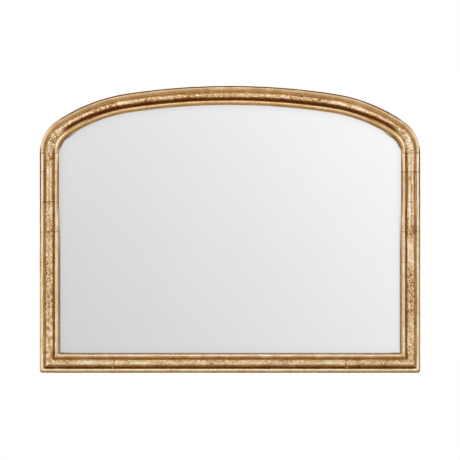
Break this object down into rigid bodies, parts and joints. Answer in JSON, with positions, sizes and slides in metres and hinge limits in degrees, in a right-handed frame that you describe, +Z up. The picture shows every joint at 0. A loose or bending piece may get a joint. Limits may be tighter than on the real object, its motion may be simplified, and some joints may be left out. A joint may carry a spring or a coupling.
{
  "type": "arched wall mirror",
  "caption": "Wide arched wall mirror in a gilded reeded frame, with a backed plate held by turn buttons and swinging D rings for wall hooks.",
  "frame": {"origin": "midway between the axes of the two hanging rings, in the plane of the frame's back", "axes": "+X to the right as seen from the front, +Y backwards to the wall, +Z up; the glass faces -Y"},
  "size_m": [1.2, 0.034, 0.905],
  "materials": {
    "gold_leaf": "carved-look wood moulding, gessoed and gold-leafed, lightly worn",
    "beech": "smooth beech dowel",
    "silvered_glass": "silvered float glass",
    "grey_card": "grey liner card",
    "hardboard": "smooth brown hardboard",
    "black_rubber": "matt black rubber",
    "zinc_steel": "bright zinc-plated steel"
  },
  "bodies": {
    "frame": {"bottom_rail": "gold_leaf", "left_stile": "gold_leaf", "right_stile": "gold_leaf", "arch_left": "gold_leaf", "arch_right": "gold_leaf", "arch_crown": "gold_leaf", "arch_dowels": "beech", "mitre_dowels": "beech", "mirror_plate": "silvered_glass", "card_liner": "grey_card", "backing_board": "hardboard", "setting_blocks": "black_rubber", "edge_packers": "black_rubber", "wall_bumper_left": "black_rubber", "wall_bumper_right": "black_rubber", "corner_brace_left": "zinc_steel", "corner_brace_right": "zinc_steel", "brace_screws": "zinc_steel", "hanger_screws": "zinc_steel", "button_screws": "zinc_steel", "hanger_strap_left": "zinc_steel", "hanger_strap_right": "zinc_steel"},
    "button_arch_left": {"button_arch_left": "zinc_steel"},
    "button_arch_right": {"button_arch_right": "zinc_steel"},
    "button_crown": {"button_crown": "zinc_steel"},
    "button_left_high": {"button_left_high": "zinc_steel"},
    "button_left_low": {"button_left_low": "zinc_steel"},
    "button_rail_left": {"button_rail_left": "zinc_steel"},
    "button_rail_middle": {"button_rail_middle": "zinc_steel"},
    "button_rail_right": {"button_rail_right": "zinc_steel"},
    "button_right_high": {"button_right_high": "zinc_steel"},
    "button_right_low": {"button_right_low": "zinc_steel"},
    "hanger_ring_left": {"hanger_ring_left": "zinc_steel"},
    "hanger_ring_right": {"hanger_ring_right": "zinc_steel"}
  },
  "joints": [
    {"name": "button_rail_left_pivot", "type": "hinge", "parent": "frame", "child": "button_rail_left", "pos_m": [-0.3, 0, -0.58717], "axis": [0, 1, 0], "continuous": true},
    {"name": "button_rail_middle_pivot", "type": "hinge", "parent": "frame", "child": "button_rail_middle", "pos_m": [0, 0, -0.58717], "axis": [0, 1, 0], "continuous": true},
    {"name": "button_rail_right_pivot", "type": "hinge", "parent": "frame", "child": "button_rail_right", "pos_m": [0.3, 0, -0.58717], "axis": [0, 1, 0], "continuous": true},
    {"name": "button_left_low_pivot", "type": "hinge", "parent": "frame", "child": "button_left_low", "pos_m": [-0.564, 0, -0.40317], "axis": [0, 1, 0], "continuous": true},
    {"name": "button_left_high_pivot", "type": "hinge", "parent": "frame", "child": "button_left_high", "pos_m": [-0.564, 0, -0.15], "axis": [0, 1, 0], "continuous": true},
    {"name": "button_right_low_pivot", "type": "hinge", "parent": "frame", "child": "button_right_low", "pos_m": [0.564, 0, -0.40317], "axis": [0, 1, 0], "continuous": true},
    {"name": "button_right_high_pivot", "type": "hinge", "parent": "frame", "child": "button_right_high", "pos_m": [0.564, 0, -0.15], "axis": [0, 1, 0], "continuous": true},
    {"name": "button_arch_left_pivot", "type": "hinge", "parent": "frame", "child": "button_arch_left", "pos_m": [-0.42734, 0, 0.19304], "axis": [0, 1, 0], "continuous": true},
    {"name": "button_arch_right_pivot", "type": "hinge", "parent": "frame", "child": "button_arch_right", "pos_m": [0.42734, 0, 0.19304], "axis": [0, 1, 0], "continuous": true},
    {"name": "button_crown_pivot", "type": "hinge", "parent": "frame", "child": "button_crown", "pos_m": [0, 0, 0.24583], "axis": [0, 1, 0], "continuous": true},
    {"name": "hanger_ring_left_swing", "type": "hinge", "parent": "frame", "child": "hanger_ring_left", "pos_m": [-0.575, 0.0028, 0], "axis": [1, 0, 0], "range_deg": [0, 178]},
    {"name": "hanger_ring_right_swing", "type": "hinge", "parent": "frame", "child": "hanger_ring_right", "pos_m": [0.575, 0.0028, 0], "axis": [1, 0, 0], "range_deg": [0, 178]}
  ]
}
